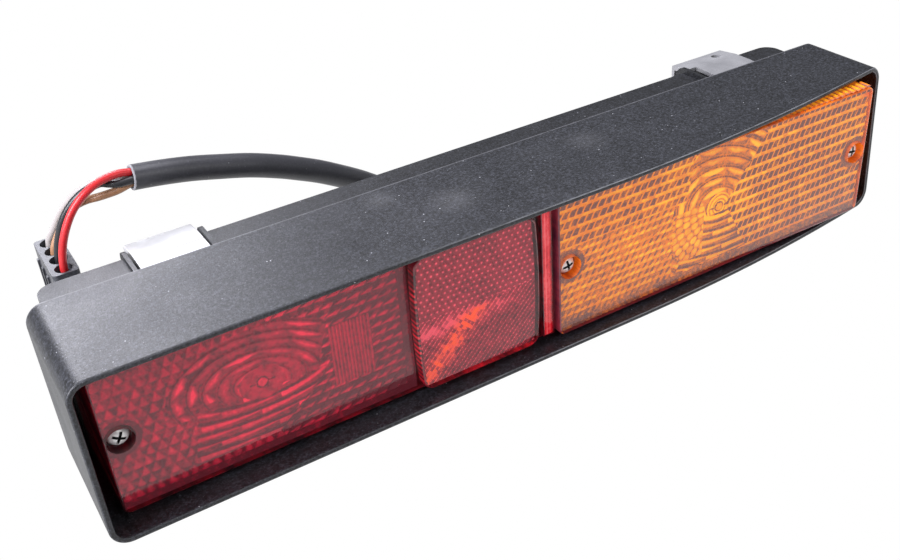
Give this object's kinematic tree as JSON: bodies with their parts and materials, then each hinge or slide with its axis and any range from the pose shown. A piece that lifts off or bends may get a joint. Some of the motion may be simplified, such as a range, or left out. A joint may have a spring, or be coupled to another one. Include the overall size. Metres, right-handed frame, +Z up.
{
  "type": "tail light cluster",
  "caption": "Long hooded rear lamp with red stop/tail lens, raised reflex block, amber indicator lens, swept rim, rear saddle brackets and wired connector.",
  "frame": {"origin": "midway between the two fixing holes, on the plane of the bracket webs that meets the vehicle", "axes": "+X along the lamp from the red end to the amber end, +Y out of the back towards the vehicle, +Z up"},
  "size_m": [0.4035, 0.139, 0.0938],
  "materials": {
    "housing_black": "fine moulded grain, satin",
    "gasket_rubber": "matt",
    "lens_red": "clear red acrylic, polished",
    "reflex_red": "clear red acrylic over prisms",
    "lens_amber": "clear amber acrylic, polished",
    "screw_zinc": "bright zinc plate",
    "reflector_bright": "vacuum-metallised",
    "bulb_clear": "clear",
    "bulb_brass": "plain",
    "bulb_amber": "amber",
    "holder_steel": "pressed, zinc-plated",
    "carrier_board": "phenolic board",
    "contact_brass": "sprung strip",
    "wire_red": "satin insulation",
    "wire_brown": "satin insulation",
    "wire_white": "satin insulation",
    "wire_black": "satin insulation",
    "grommet_rubber": "matt",
    "sleeve_black": "satin, slightly dusty",
    "connector_dark": "glass-filled nylon",
    "seal_green": "silicone",
    "bracket_zinc": "bright zinc plate"
  },
  "bodies": {
    "root": {"housing": "housing_black", "lens_gasket": "gasket_rubber", "red_lens": "lens_red", "reflex_block": "reflex_red", "amber_lens": "lens_amber", "lens_screws": "screw_zinc", "tail_reflector": "reflector_bright", "turn_reflector": "reflector_bright", "tail_bulb_glass": "bulb_clear", "tail_bulb_cap": "bulb_brass", "turn_bulb_glass": "bulb_amber", "turn_bulb_cap": "bulb_brass", "tail_holder": "holder_steel", "turn_holder": "holder_steel", "tail_contact_carrier": "carrier_board", "turn_contact_carrier": "carrier_board", "tail_contacts": "contact_brass", "turn_contact": "contact_brass", "earth_strip": "contact_brass", "lead_stop": "wire_red", "lead_tail": "wire_brown", "lead_turn": "wire_white", "lead_earth": "wire_black", "cable_grommet": "grommet_rubber", "cable_sleeve": "sleeve_black", "wire_red": "wire_red", "wire_black": "wire_black", "wire_brown": "wire_brown", "wire_white": "wire_white", "connector_body": "connector_dark", "connector_seals": "seal_green", "bracket_left": "bracket_zinc", "bracket_right": "bracket_zinc"}
  },
  "joints": []
}
